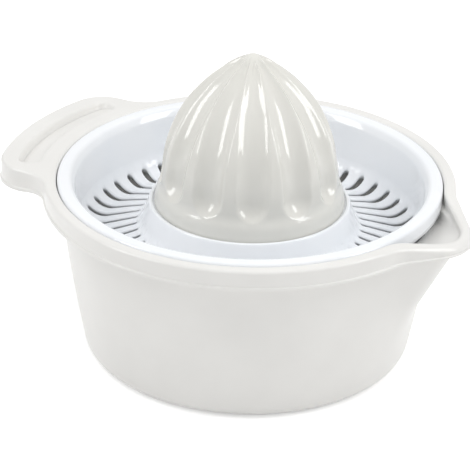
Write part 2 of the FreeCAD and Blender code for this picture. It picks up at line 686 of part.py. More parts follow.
# The reamer, drawn standing on zero and set on the strainer's hub.
reamer = doc.addObject("PartDesign::Body", "reamer")
reamer.Label = "reamer"
reamer.Placement.Base.z = val("reamer_z")
reamer.setExpression("Placement.Base.z", "sizes.reamer_z")
profile = new_sketch(reamer, "cone_profile", "XZ_Plane")
closed_outline(profile, [(None, None), ("reamer_r", None), ("collar_r", "collar_z"),
                         ("shoulder_r", "shoulder_z"), ("tip_r", "tip_z"), (None, "reamer_top")],
               {3: ("ogive_r", 1), 4: ("tip_round", 1)})
cone = turned(reamer, "Revolution", "cone", profile)
cone = rounded(reamer, "collar_edge", cone, rings(cone, [(val("collar_r"), val("collar_z"))]), "collar_round")
shoulder = rings(cone, [(val("shoulder_r"), val("shoulder_z"))])
rounded(reamer, "shoulder_edge", cone, shoulder, "shoulder_round")
sketch = new_sketch(reamer, "flute_section", "XY_Plane")
sketch.AttachmentOffset = FreeCAD.Placement(V(val("flute_x"), 0, val("flute_z")),
                                            FreeCAD.Rotation(V(0, -1, 0), val("flute_low")))
sketch.setExpression("AttachmentOffset.Base.x", "sizes.flute_x")
sketch.setExpression("AttachmentOffset.Base.z", "sizes.flute_z")
sketch.setExpression("AttachmentOffset.Rotation.Angle", "sizes.flute_low * 1 deg")
circle = sketch.addGeometry(Part.Circle(V(val("flute_path"), 0, 0), V(0, 0, 1), val("flute_round")), False)
place_point(sketch, circle, 3, "flute_path", None)
bind(sketch, sketch.addConstraint(Sketcher.Constraint("Radius", circle, val("flute_round"))), "flute_round")
flute = turned(reamer, "Groove", "flute", sketch)
flute.Angle = val("flute_sweep")
flute.setExpression("Angle", "sizes.flute_sweep * 1 deg")
flute.Reversed = True
doc.recompute()
sketch = new_sketch(reamer, "flute_end_section", "XZ_Plane")
sketch.AttachmentOffset = FreeCAD.Placement(V(val("flute_end_x"), val("flute_end_z"), 0), FreeCAD.Rotation())
sketch.setExpression("AttachmentOffset.Base.x", "sizes.flute_end_x")
sketch.setExpression("AttachmentOffset.Base.y", "sizes.flute_end_z")
size = val("flute_round")
bow = sketch.addGeometry(arc_between(V(), V(0, -size, 0), V(0, size, 0)), False)
axis = sketch.addGeometry(Part.LineSegment(V(0, size, 0), V(0, -size, 0)), False)
sketch.addConstraint(Sketcher.Constraint("Coincident", bow, 3, -1, 1))
sketch.addConstraint(Sketcher.Constraint("PointOnObject", bow, 1, -2))
sketch.addConstraint(Sketcher.Constraint("PointOnObject", bow, 2, -2))
sketch.addConstraint(Sketcher.Constraint("Coincident", bow, 2, axis, 1))
sketch.addConstraint(Sketcher.Constraint("Coincident", axis, 2, bow, 1))
bind(sketch, sketch.addConstraint(Sketcher.Constraint("Radius", bow, size)), "flute_round")
flute_end = turned(reamer, "Groove", "flute_end", sketch)
patterned(reamer, "flutes", [flute, flute_end], "flute_n")
profile = new_sketch(reamer, "cave_profile", "XZ_Plane")
closed_outline(profile, [(None, None), ("cave_r1", None), ("cave_r1", "cave_z1"), ("cave_r2", "cave_z2"),
                         ("cave_r3", "cave_z3"), ("cave_r4", "cave_z4"), (None, "cave_z4")])
turned(reamer, "Groove", "cave", profile)
vane_sketch = new_sketch(reamer, "vane_outline", "XY_Plane", "vane_low")
cross_outline(vane_sketch, "vane_half", "vane_l")
swept(reamer, "Pad", "vanes", vane_sketch, "vane_h")

doc.recompute()
for item in doc.Objects:
    for state in item.State:
        if "Invalid" in state or "Error" in state:
            raise RuntimeError("%s is %s" % (item.Name, state))
os.makedirs("parts", exist_ok=True)
for body in (bowl, strainer, reamer):
    shape = body.Shape
    if shape.isNull() or not shape.isValid() or len(shape.Solids) != 1:
        raise RuntimeError("%s is not one sound solid" % body.Label)
    shape.exportStep("parts/%s.step" % body.Label)
    box = shape.optimalBoundingBox()
    sides = [round(v, 2) for v in (box.XLength, box.YLength, box.ZLength)]
    print(body.Label, "%.2f cm3" % (shape.Volume / 1000), sides)
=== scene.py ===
import math

import bmesh
import bpy
from mathutils import Matrix, Vector


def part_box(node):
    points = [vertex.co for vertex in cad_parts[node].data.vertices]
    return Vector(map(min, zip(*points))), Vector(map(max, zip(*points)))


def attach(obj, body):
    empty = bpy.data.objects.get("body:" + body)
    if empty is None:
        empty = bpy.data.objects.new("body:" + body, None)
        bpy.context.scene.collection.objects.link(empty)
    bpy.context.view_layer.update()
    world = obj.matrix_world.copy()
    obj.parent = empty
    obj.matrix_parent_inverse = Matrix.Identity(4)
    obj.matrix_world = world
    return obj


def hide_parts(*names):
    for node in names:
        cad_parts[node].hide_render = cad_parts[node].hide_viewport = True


# Hand citrus press: an off-white bowl with a tab handle and a pouring spout, a bright white strainer with slots
# all round, and a fluted reamer. Shapes are worked out in millimetres about the bowl's axis, +X towards the spout.

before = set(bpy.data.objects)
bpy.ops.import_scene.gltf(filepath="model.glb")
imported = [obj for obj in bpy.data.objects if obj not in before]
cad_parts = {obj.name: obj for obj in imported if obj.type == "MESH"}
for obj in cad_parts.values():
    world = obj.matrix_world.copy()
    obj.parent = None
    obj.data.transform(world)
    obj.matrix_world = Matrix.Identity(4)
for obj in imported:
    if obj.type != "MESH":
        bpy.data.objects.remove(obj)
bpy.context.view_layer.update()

MM = 0.001
TAU = 2 * math.pi
BOWL_LOW, BOWL_HIGH = [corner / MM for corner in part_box("bowl")]
STRAINER_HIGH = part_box("strainer")[1] / MM
REAMER_LOW, REAMER_HIGH = [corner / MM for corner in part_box("reamer")]
# Distances in metres under which points are one: within a mesh, and where sectors meet
WELD = 1e-7
SEAM = 2e-6

# Bowl: rim band, with a bead along its lower edge that thins out where the rim comes down to it
BEAD = 0.45
BEAD_H = 1.3
BEAD_ROOM = 6.0
RIM_R = BOWL_HIGH.y - BEAD
RIM_Z = BOWL_HIGH.z
RIM_T = 4.35
RIM_ROUND = 1.1
BAND_Z = RIM_Z - 7.1
SPOUT_DROP = 0.3
TAB_DROP = 1.1
TAB_DROP_RUN = (62.0, 73.0)
LEDGE_Z = RIM_Z - 4.9
# Bowl: the seat's rounded foot as (out, up) from its corner, and heights of the rings below the ledge
SEAT_ROUND = 0.35
SEAT_CORNER = ((0, 0.6), (0, SEAT_ROUND), (-0.1, 0.1), (-SEAT_ROUND, 0))
LEDGE_ROUND = 0.3
LEDGE_SOFT = 0.08
SEAT_STEPS = (58.7, 58.1, 57.5, 56.9, 56.2, 55.5)
# Bowl: wall and floor
WALL_TOP_R = 66.3
BASE_R = 57.3
WALL_SAG = 0.69
WALL_T = 2.4
BASE_ROUND = 5.5
FOOT_R = 46.3
FOOT_H = 0.8
FLOOR_Z = 2.6
FLOOR_R = 55.4
FLOOR_ROUND = 4.0
IN_TOP_R = WALL_TOP_R - WALL_T
WALL_LOW_Z = 5.0
WALL_FILLET = 1.2
WALL_RINGS = 28
INSIDE_RINGS = 24
BASE_STEPS = 10
EDGE_STEPS = 6
# Bowl: handle tab, its finger recess on top and its hollow below
HANDLE_R = -BOWL_LOW.x - BEAD
HANDLE_HALF = 35.8
HANDLE_CORNER = 13.0
HANDLE_FAIR = 14.0
RECESS_IN_R = 73.2
RECESS_OUT_R = 83.0
RECESS_TURN = math.radians(22)
RECESS_ROUND = 3.8
RECESS_DEEP = 3.3
RECESS_ROLL = 1.4
UNDER_IN_R = 75.0
UNDER_OUT_R = 85.8
UNDER_TURN = math.radians(20)
UNDER_DEEP = 2.6
UNDER_WALL = 0.9
UNDER_START = 1.5
UNDER_STOP = 0.3
# Bowl: radii of the rings at the handle, close together at the edges of the hollow and of the recess
UNDER_STOPS = (67.8, 70, 72.5, 74.3, 74.8, 75.1, 75.4, 75.7, 76.1, 76.8, 78.5, 80.4, 82.3, 84.0, 84.8, 85.2, 85.5,
               85.8, 86.1, 86.6, 87.6)
RECESS_STOPS = (83.9, 83.3, 82.9, 82.6, 82.4, 82.2, 82.0, 81.8, 81.6, 81.3, 81.0,
                *[80.4 - 0.6 * i for i in range(10)],
                74.5, 74.1, 73.8, 73.5, 73.3, 73.1, 72.9, 72.6, 72.2, 71.4, 70.3)
TOP_END_R = 84.5
TOP_SHARE = 0.9
# Bowl: pouring spout, its sloping lip, the channel inside it and the beak under it
SPOUT_REACH = BOWL_HIGH.x - BEAD
SPOUT_ROUND = 16.5
SPOUT_TURN = math.radians(49.8)
SPOUT_BLEND = 20.0
LIP_X = 62.8
LIP_SLOPE = math.radians(14)
LIP_BLEND = 14.0
LIP_ROLL = 2.1
CHANNEL_Z = 54.8
CHANNEL_SLOPE = 3.0
SCOOP_BOW = 2.6
BEAK_REACH = 79.3
BEAK_LEAN = math.radians(27.4)
BEAK_T = 2.6
BEAK_LOW_Z = 18.0
# its half angle and rounding, at the band and at its low end
BEAK_TURN = (math.radians(49.8), math.radians(62))
BEAK_ROUND = (10.0, 16.0)
BEAK_BACK = 50.0
BEAK_SOFT = 3.0
# Bowl: spacing of its columns along tip, flank, blend, plain rim, and the handle's fair, side, corner and edge
COLUMN_STEPS = (0.8, 0.8, 0.9, 1.9, 0.7, 0.6, 0.6, 0.6)
# Strainer, heights from the ledge that it hangs on
DISH_RIM = STRAINER_HIGH.z - LEDGE_Z
DISH_R = STRAINER_HIGH.x
DISH_RIM_W = 4.6
DISH_SHOULDER_Z = 2.4
DISH_GAP = 0.8
SEAT_FIT = 0.3
DISH_T = 1.9
TROUGH_Z = -18.9
TROUGH_R = 59.4
TROUGH_ROUND = 7.0
HUB_Z = REAMER_LOW.z - LEDGE_Z
HUB_FOOT_R = 38.2
HUB_FOOT_Z = -13.0
HUB_ROUND = 5.0
HUB_LIP_R = 35.2
HUB_LIP_W = 1.2
HUB_LIP_H = 0.8
KEY_R = 17.4
KEY_T = 2.4
KEY_H = 9.0
KEY_NOTCH = (1.45, 1.75)
KEY_DISC_R = 22.0
SLOTS = 50
SLOT_IN_R = 39.2
SLOT_IN_HALF = 0.75
SLOT_OUT_R = 59.2
SLOT_OUT_HALF = 1.15
SLOT_SOFT = 1.1
SLOT_SOFT_DEEP = 0.75
SLOT_FLARE = 0.8
SLOT_END = 0.72
SECTOR_IN_R = SLOT_IN_R - 2.0
SECTOR_OUT_R = 60.1
SECTOR_COLUMNS = 4
# Reamer, heights from its base
REAMER_TURN = math.radians(-1.3)
REAMER_R = REAMER_HIGH.x
REAMER_H = REAMER_HIGH.z - REAMER_LOW.z
COLLAR_R = 32.8
COLLAR_Z = 4.9
COLLAR_ROUND = 9.0
SHOULDER_Z = 8.0
SHOULDER_ROUND = 8.0
SHOULDER_RUN = 2.2
OGIVE_R = 52.3
OGIVE_C = 20.9
OGIVE_Z = 8.25
TIP_ROUND = 4.0
FLUTES = 12
FLUTE_ROUND = 6.7
FLUTE_DEEP = 3.1
FLUTE_LOW = math.radians(5.3)
FLUTE_HIGH = math.radians(74)
FLUTE_RUN_OUT = math.radians(5)
FLUTE_SOFT = 0.9
FLUTE_SOFT_R = 20.0
FLUTE_FILL = 0.97
# its hollow inside as (radius, height), and the crossed vanes in it
CAVE = ((25.5, 0.0), (25.5, 14.0), (20.5, 30.0), (12.5, 41.0), (5.3, 47.0))
VANE_T = 2.4
VANE_LOW = 0.6
VANE_TOP = 13.0
VANE_LET_IN = 1.2
# Camera, fitted to the photograph's circles: pixels on a side, focal length in pixels, place about the rim's middle
PICTURE = 470
FOCAL = 2500
SENSOR = 36.0
AIM_Z = 63.4
AZIMUTH = math.radians(26.5)
DISTANCE = 873.4
ELEVATION = math.radians(25.73)
YAW = math.radians(-0.35)
PITCH = math.radians(27.05)
ROLL = math.radians(-1.30)
# Lamps: turn from the camera's bearing and rise in degrees, size in metres, watts, and whether the lamp only gives
# the gloss its streaks or only lights the press
LAMPS = (("softbox_left", -86, 44, (0.6, 0.6), 1.9, False),
         ("strip_left", -70, 28, (0.30, 0.55), 3.6, True),
         ("softbox_right", 86, 44, (0.6, 0.6), 2.5, False),
         ("strip_right", 70, 28, (0.30, 0.55), 3.6, True),
         ("softbox_top", 0, 80, (0.8, 0.8), 1.5, False))
LAMP_AWAY = 0.9
SURROUND = 0.66
PAPER_GLOW = 0.35
TABLE_HALF = 3
WHITE = (1, 1, 1, 1)


def blend(a, b, t):
    return a + (b - a) * t


def ramp(x, low, high):
    """0 below low, 1 above high, and a soft step between."""
    t = min(max((x - low) / (high - low), 0.0), 1.0)
    return t * t * (3 - 2 * t)


def soft_max(a, b, soft):
    """The larger of two values, with a rounded change from one to the other."""
    near = max(soft - abs(a - b), 0.0) / soft
    return max(a, b) + near * near * soft / 4


def ray_circle(angle, centre, radius, far=True):
    """How far along a ray from the axis its far or near side meets a circle."""
    along = centre.x * math.cos(angle) + centre.y * math.sin(angle)
    across = centre.y * math.cos(angle) - centre.x * math.sin(angle)
    half = math.sqrt(max(radius * radius - across * across, 0.0))
    return along + half if far else along - half


def bearing(point):
    return math.atan2(point.y, point.x)


def from_spout(angle):
    """Turn away from the spout, either way round."""
    return abs((angle + math.pi) % TAU - math.pi)


# The rim's outline from above: a circle, the handle tab, and the spout's round tip, straight flanks and fair blends
SPOUT_TIP = Vector((SPOUT_REACH - SPOUT_ROUND, 0))
FLANK = Vector((math.sin(SPOUT_TURN), math.cos(SPOUT_TURN)))
FLANK_RUN = Vector((-math.cos(SPOUT_TURN), math.sin(SPOUT_TURN)))
FLANK_OUT = FLANK.dot(SPOUT_TIP) + SPOUT_ROUND
BLEND_OUT = FLANK_OUT + SPOUT_BLEND
SPOUT_FAIR = FLANK * BLEND_OUT - FLANK_RUN * math.sqrt((RIM_R + SPOUT_BLEND) ** 2 - BLEND_OUT ** 2)
CORNER_Y = HANDLE_HALF - HANDLE_CORNER
TAB_CORNER = Vector((math.sqrt((HANDLE_R - HANDLE_CORNER) ** 2 - CORNER_Y ** 2), CORNER_Y))
FAIR_Y = HANDLE_HALF + HANDLE_FAIR
TAB_FAIR = Vector((math.sqrt((RIM_R + HANDLE_FAIR) ** 2 - FAIR_Y ** 2), FAIR_Y))


def spout_joints(grow):
    """Where tip, flank and blend end, as turns from the spout."""
    tip_end = SPOUT_TIP + FLANK * (SPOUT_ROUND + grow)
    flank_end = SPOUT_FAIR - FLANK * (SPOUT_BLEND - grow)
    return bearing(tip_end), bearing(flank_end), bearing(SPOUT_FAIR)


def handle_joints(grow):
    """Where outer edge, corner, side and fair end, as turns from the handle."""
    side = HANDLE_HALF + grow
    corner_end, side_end = math.atan2(side, TAB_CORNER.x), math.atan2(side, TAB_FAIR.x)
    return bearing(TAB_CORNER), corner_end, side_end, bearing(TAB_FAIR)


def rim_reach(angle, grow=0.0, handle=True):
    """The rim outline's distance from the axis, grown outwards."""
    turn = from_spout(angle)
    tip_end, flank_end, blend_end = spout_joints(grow)
    if turn < tip_end:
        return ray_circle(turn, SPOUT_TIP, SPOUT_ROUND + grow)
    if turn < flank_end:
        return (FLANK_OUT + grow) / math.sin(SPOUT_TURN + turn)
    if turn < blend_end:
        return ray_circle(turn, SPOUT_FAIR, SPOUT_BLEND - grow, far=False)
    back = math.pi - turn
    edge_end, corner_end, side_end, fair_end = handle_joints(grow)
    if not handle or back > fair_end:
        return RIM_R + grow
    if back < edge_end:
        return HANDLE_R + grow
    if back < corner_end:
        return ray_circle(back, TAB_CORNER, HANDLE_CORNER + grow)
    if back < side_end:
        return (HANDLE_HALF + grow) / math.sin(back)
    return ray_circle(back, TAB_FAIR, HANDLE_FAIR - grow, far=False)


def rim_columns():
    """Angles round the bowl, close together at the spout and the handle."""
    stops = [0.0, *spout_joints(0), *[math.pi - t for t in reversed(handle_joints(0))], math.pi]
    half = []
    for start, end, step in zip(stops, stops[1:], COLUMN_STEPS):
        here = Vector((1, 0)) * rim_reach(start)
        there = Matrix.Rotation(end - start, 2) @ Vector((rim_reach(end), 0))
        count = max(3, round((there - here).length / step))
        half += [blend(start, end, i / count) for i in range(count)]
    half.append(math.pi)
    return half + [TAU - a for a in reversed(half[1:-1])]


def rim_top(x):
    """Height of the rim: level, then sloping down along the spout."""
    bend = LIP_BLEND * math.sin(LIP_SLOPE)
    if x <= LIP_X:
        return RIM_Z
    if x <= LIP_X + bend:
        return RIM_Z - LIP_BLEND + math.sqrt(LIP_BLEND ** 2 - (x - LIP_X) ** 2)
    return RIM_Z - LIP_BLEND * (1 - math.cos(LIP_SLOPE)) - (x - LIP_X - bend) * math.tan(LIP_SLOPE)


def band_low(x):
    """Height of the band's lower edge, which drops a little along the spout and more under the handle tab."""
    return BAND_Z - SPOUT_DROP * ramp(x, LIP_X, SPOUT_REACH) - TAB_DROP * ramp(-x, *TAB_DROP_RUN)


def bead_share(x):
    """Share of the bead's height that is left where the rim slopes down towards it."""
    return min(1, (rim_top(x) - BAND_Z) / BEAD_ROOM)


def in_spout(angle):
    """1 inside the spout, falling to 0 at the end of its straight sides."""
    tip_end, flank_end, _ = spout_joints(0)
    return 1 - ramp(from_spout(angle), tip_end, flank_end)


def rim_roll(angle):
    """Rounding of the rim's edges, which grows to a full roll along the spout."""
    return blend(RIM_ROUND, LIP_ROLL, in_spout(angle))


def beak_reach(angle, z, inside=0.0):
    """The beak under the spout: a blunt wedge that leans in towards the base."""
    turn = from_spout(angle)
    if turn > math.pi / 2:
        return 0.0
    t = (BAND_Z - z) / (BAND_Z - BEAK_LOW_Z)
    half, rounding = blend(*BEAK_TURN, t), blend(*BEAK_ROUND, t)
    centre = BEAK_REACH - (BAND_Z - z) * math.tan(BEAK_LEAN) - rounding
    rounding -= inside
    if turn < math.atan2(rounding * math.cos(half), centre + rounding * math.sin(half)):
        return ray_circle(turn, Vector((centre, 0)), rounding)
    reach = (centre * math.sin(half) + rounding) / math.sin(half + turn)
    return reach if reach * math.cos(turn) > BEAK_BACK else 0.0


def bowed(low, high, z):
    """Radius of a slightly bulging wall between two (radius, height) points."""
    t = (z - low[1]) / (high[1] - low[1])
    return blend(low[0], high[0], t) + 4 * WALL_SAG * t * (1 - t)


def wall_reach(angle, z):
    """The bowl's outside, with the beak."""
    return soft_max(bowed((BASE_R, 0), (WALL_TOP_R, BAND_Z), z), beak_reach(angle, z), BEAK_SOFT)


def inside_reach(angle, z):
    """The bowl's inside, with the channel of the spout."""
    wall = bowed((FLOOR_R, FLOOR_Z), (IN_TOP_R, BAND_Z), min(z, BAND_Z))
    channel = IN_TOP_R + (z - CHANNEL_Z) * CHANNEL_SLOPE
    return soft_max(wall, min(beak_reach(angle, z, BEAK_T), channel), BEAK_SOFT)


def recess_depth(angle, r):
    """Finger recess: a rounded patch of ring, deep at its outer edge and running out at its inner one."""
    back = math.pi - from_spout(angle)
    middle = (RECESS_IN_R + RECESS_OUT_R) / 2
    across = abs(r - middle) - (RECESS_OUT_R - RECESS_IN_R) / 2 + RECESS_ROUND
    along = (back - RECESS_TURN) * middle + RECESS_ROUND
    outside = math.hypot(max(across, 0), max(along, 0)) + min(max(across, along), 0) - RECESS_ROUND
    depth = RECESS_DEEP * (r - RECESS_IN_R) / (RECESS_OUT_R - RECESS_IN_R)
    inside = min(max(-outside / RECESS_ROLL, 0), 1)
    return max(depth, 0) * (1 - math.sqrt(1 - inside * inside))


def under_depth(angle, r):
    """Hollow moulded under the handle tab."""
    back = math.pi - from_spout(angle)
    inside = min(r - UNDER_IN_R, UNDER_OUT_R - r, (UNDER_TURN - back) * r)
    return UNDER_DEEP * ramp(inside, 0, UNDER_WALL)


def joined_rings(name, rings):
    """Closed mesh from rings of points in millimetres; a ring of one point is a pole."""
    work = bmesh.new()
    made = [[work.verts.new(Vector(p) * MM) for p in ring] for ring in rings]
    for lower, upper in zip(made, made[1:]):
        count = max(len(lower), len(upper))
        for i in range(count):
            j = (i + 1) % count
            corners = [lower[i % len(lower)], lower[j % len(lower)]]
            corners += [upper[j % len(upper)], upper[i % len(upper)]]
            work.faces.new(list(dict.fromkeys(corners)))
    return finished_mesh(name, work)


def finished_mesh(name, work):
    """Welds, turns all faces outwards and smooths."""
    bmesh.ops.remove_doubles(work, verts=work.verts, dist=WELD)
    bmesh.ops.recalc_face_normals(work, faces=work.faces)
    for face in work.faces:
        face.smooth = True
    mesh = bpy.data.meshes.new(name)
    work.to_mesh(mesh)
    work.free()
    return mesh


def placed(name, mesh, material):
    mesh.materials.clear()
    mesh.materials.append(material)
    piece = bpy.data.objects.new(name, mesh)
    bpy.context.scene.collection.objects.link(piece)
    return piece


def arc(centre, radius, start, end, count):
    """Points on an arc in (radius, height), angles in degrees."""
    turns = [math.radians(blend(start, end, i / count)) for i in range(count + 1)]
    return [(centre[0] + radius * math.cos(t), centre[1] + radius * math.sin(t)) for t in turns]


def bowl_mesh():
    """Rings from the middle of the base up the outside, over the rim and down the inside to the floor's middle."""
    columns = rim_columns()
    rings = []

    def ring(reach, height):
        points = []
        for a in columns:
            r = reach(a)
            x = r * math.cos(a)
            points.append((x, r * math.sin(a), height(a, r, x)))
        rings.append(points)

    def level(r, z):
        ring(lambda a: r, lambda a, r, x: z)

    def inner(a, grow):
        return rim_reach(a, grow - RIM_T, handle=False)

    def top_edges(a):
        """The rim's flat top along a ray: its inner edge, where the recess's rings end, and its outer edge."""
        start, end = inner(a, rim_roll(a)), rim_reach(a, -rim_roll(a))
        return start, min(TOP_END_R, blend(start, end, TOP_SHARE)), end

    # base: a shallow hollow inside a ring foot, and the rounded edge up to the wall
    rings.append([(0, 0, FOOT_H)])
    for r, z in ((FOOT_R / 2, FOOT_H), (FOOT_R - 0.6, FOOT_H), (FOOT_R - 0.1, FOOT_H - 0.1),
                 (FOOT_R, FOOT_H - 0.3), (FOOT_R + 0.05, 0.2), (FOOT_R + 0.3, 0), (FOOT_R + 1, 0)):
        level(r, z)
    foot_slope = math.atan2(WALL_TOP_R - BASE_R + 4 * WALL_SAG, BAND_Z)
    foot_c = BASE_R + BASE_ROUND * (math.tan(foot_slope) - 1 / math.cos(foot_slope))
    for r, z in arc((foot_c, BASE_ROUND), BASE_ROUND, -90, -math.degrees(foot_slope), BASE_STEPS):
        level(r, z)
    # wall and beak
    for i in range(1, WALL_RINGS + 1):
        z = blend(WALL_LOW_Z, BAND_Z - WALL_FILLET, i / WALL_RINGS)
        ring(lambda a: wall_reach(a, z), lambda a, r, x: z)
    for out, down in ((0.1, 0.7), (0.35, 0.25), (0.8, 0.03)):
        ring(lambda a: wall_reach(a, BAND_Z) + out, lambda a, r, x: band_low(x) - down)
    # underside of the band, with the hollow under the tab
    low_r, high_r = WALL_TOP_R + UNDER_START, HANDLE_R - 0.5
    for stop in (*UNDER_STOPS, high_r):
        t = (stop - low_r) / (high_r - low_r)
        ring(lambda a: blend(wall_reach(a, BAND_Z) + UNDER_START, rim_reach(a) - UNDER_STOP, t),
             lambda a, r, x: band_low(x) + under_depth(a, r))
    # bead along the band's lower edge, and the band's face
    for grow, up in ((0.1, 0), (0.3, 0.03), (0.41, 0.12), (BEAD, 0.3), (BEAD, BEAD_H - 0.4),
                     (0.4, BEAD_H - 0.15), (0.25, BEAD_H - 0.02), (0.06, BEAD_H + 0.04), (0, BEAD_H + 0.15)):
        ring(lambda a: rim_reach(a, grow), lambda a, r, x: band_low(x) + up * bead_share(x))
    for share in (0.25, 0.75):
        ring(rim_reach,
             lambda a, r, x: blend(band_low(x) + BEAD_H * bead_share(x), rim_top(x) - rim_roll(a), share))
    # rounded outer edge, top with the finger recess, rounded inner edge
    for out, up in arc((0, 0), 1, 0, 90, EDGE_STEPS):
        ring(lambda a: rim_reach(a, (out - 1) * rim_roll(a)),
             lambda a, r, x: rim_top(x) + (up - 1) * rim_roll(a))
    for t in (0.7, 0.35, 0.0):
        ring(lambda a: blend(*top_edges(a)[1:], t), lambda a, r, x: rim_top(x))
    near = RIM_R - RIM_T + RIM_ROUND
    for stop in RECESS_STOPS:
        t = (stop - near) / (TOP_END_R - near)
        ring(lambda a: blend(*top_edges(a)[:2], t), lambda a, r, x: rim_top(x) - recess_depth(a, r))
    for out, up in arc((0, 0), 1, 90, 180, EDGE_STEPS):
        ring(lambda a: inner(a, (1 + out) * rim_roll(a)),
             lambda a, r, x: rim_top(x) + (up - 1) * rim_roll(a))
    # seat for the strainer and its ledge, which give way to a smooth channel along the spout
    seat = [(lambda a, out=out: inner(a, out), LEDGE_Z + up) for out, up in SEAT_CORNER]
    seat += [(lambda a, t=t: blend(inside_reach(a, LEDGE_Z) + LEDGE_ROUND, inner(a, -SEAT_ROUND), t), LEDGE_Z)
             for t in (0.5, 0.0)]
    seat.append((lambda a: inside_reach(a, LEDGE_Z) + LEDGE_SOFT, LEDGE_Z - LEDGE_SOFT))
    seat += [(lambda a, z=z: inside_reach(a, z), z) for z in (*SEAT_STEPS, CHANNEL_Z)]
    for k, (reach, z) in enumerate(seat):
        down = (k + 1) / len(seat)
        inwards = down ** SCOOP_BOW
        ring(lambda a: blend(reach(a), blend(inner(a, 0), inside_reach(a, CHANNEL_Z), inwards), in_spout(a)),
             lambda a, r, x: blend(z, blend(rim_top(x) - rim_roll(a), CHANNEL_Z, down), in_spout(a)))
    # inside wall and floor
    for i in range(1, INSIDE_RINGS + 1):
        z = blend(CHANNEL_Z, FLOOR_Z + FLOOR_ROUND, i / INSIDE_RINGS)
        ring(lambda a: inside_reach(a, z), lambda a, r, x: z)
    corner = inside_reach(math.pi, FLOOR_Z + FLOOR_ROUND) - FLOOR_ROUND
    for r, z in arc((corner, FLOOR_Z + FLOOR_ROUND), FLOOR_ROUND, -10, -90, EDGE_STEPS):
        level(r, z)
    for share in (0.97, 0.66, 0.33):
        level(corner * share, FLOOR_Z)
    rings.append([(0, 0, FLOOR_Z)])
    return joined_rings("bowl_moulding", rings)


def rounded_path(corners, step):
    """Points along straight runs with rounded corners, each corner (radius, height, rounding)."""
    path = []
    count = len(corners)
    for i, (r, z, rounding) in enumerate(corners):
        here = Vector((r, z))
        if i in (0, count - 1) or rounding == 0:
            path.append(here)
            continue
        before = (Vector(corners[i - 1][:2]) - here).normalized()
        after = (Vector(corners[i + 1][:2]) - here).normalized()
        opening = before.angle(after)
        cut = rounding / math.tan(opening / 2)
        centre = here + (before + after).normalized() * (rounding / math.sin(opening / 2))
        spokes = here + before * cut - centre, here + after * cut - centre
        pieces = max(3, round(rounding * (math.pi - opening) / step))
        for k in range(pieces + 1):
            path.append(centre + spokes[0].slerp(spokes[1], k / pieces).normalized() * rounding)
    filled = [path[0]]
    for a, b in zip(path, path[1:]):
        pieces = max(1, math.ceil((b - a).length / (4 * step)))
        filled += [a.lerp(b, k / pieces) for k in range(1, pieces + 1)]
    return filled


def height_on(path, r):
    """Height of a path where it passes a radius."""
    for a, b in zip(path, path[1:]):
        low, high = sorted((a.x, b.x))
        if low <= r <= high and high > low:
            return blend(a.y, b.y, (r - a.x) / (b.x - a.x))
    raise ValueError("path doesn't reach radius %.2f" % r)


def split_path(path, near, far):
    """Parts of an outward path before the nearer of two radii and after the farther one."""
    cuts = [Vector((r, height_on(path, r))) for r in (near, far)]
    before = [p for p in path if p.x < near - 1e-6] + [cuts[0]]
    after = [cuts[1]] + [p for p in path if p.x > far + 1e-6]
    return before, after


def dish_paths():
    """The strainer's upper and lower faces in (radius, height), from the key's disc to the rim's outer edge."""
    rim_in = DISH_R - DISH_RIM_W
    wall_out = IN_TOP_R - DISH_GAP
    lip_in, lip_z = HUB_LIP_R - HUB_LIP_W, HUB_Z + HUB_LIP_H
    floor = math.atan2(HUB_FOOT_Z - TROUGH_Z, TROUGH_R - HUB_FOOT_R)
    flank = math.atan2(lip_z - HUB_FOOT_Z, HUB_FOOT_R - HUB_LIP_R)
    shift = DISH_T * math.sin((flank + floor) / 2) / math.cos((flank - floor) / 2)
    foot_low = HUB_FOOT_R - shift, HUB_FOOT_Z - DISH_T / math.cos(floor) + shift * math.tan(floor)
    hub_low = foot_low[0] - (HUB_Z - DISH_T - foot_low[1]) / math.tan(flank)
    trough_low = TROUGH_Z - DISH_T * math.tan(floor) - DISH_T / math.cos(floor)
    outer_edge = (DISH_R + SEAT_FIT, 0, 0)
    upper = [(KEY_DISC_R, HUB_Z, 0), (lip_in, HUB_Z, 0.2), (lip_in + 0.01, lip_z, 0.35), (HUB_LIP_R, lip_z, 0.5),
             (HUB_FOOT_R, HUB_FOOT_Z, HUB_ROUND), (TROUGH_R, TROUGH_Z, TROUGH_ROUND),
             (wall_out - DISH_T, DISH_SHOULDER_Z, 3.0), (rim_in, DISH_RIM, 1.9), (DISH_R, DISH_RIM, 1.1),
             outer_edge]
    lower = [(KEY_DISC_R, HUB_Z - DISH_T, 0), (hub_low, HUB_Z - DISH_T, 0.6), (*foot_low, HUB_ROUND + DISH_T),
             (TROUGH_R + DISH_T, trough_low, TROUGH_ROUND + DISH_T), (wall_out, 0, 0.4), outer_edge]
    return rounded_path(upper, step=0.4), rounded_path(lower, step=0.6)


SLOT_RUN = (SLOT_IN_R + SLOT_IN_HALF, SLOT_OUT_R - SLOT_OUT_HALF)


def slot_loop(grow, sides, ends):
    """A slot's outline in plan: out along one side, round the wide end, back, and round the narrow inner end."""
    inner, outer = SLOT_IN_HALF + grow, SLOT_OUT_HALF + grow
    run = [Vector((blend(*SLOT_RUN, i / sides), blend(inner, outer, i / sides))) for i in range(sides + 1)]
    turns = [math.pi * (i / ends - 0.5) for i in range(1, ends)]
    loop = [Vector((p.x, -p.y)) for p in run]
    end = SLOT_OUT_HALF + SLOT_END * grow
    loop += [Vector((SLOT_RUN[1] + end * math.cos(t), outer * math.sin(t))) for t in turns]
    loop += reversed(run)
    loop += [Vector((SLOT_RUN[0] - inner * math.cos(t), -inner * math.sin(t))) for t in turns]
    return loop


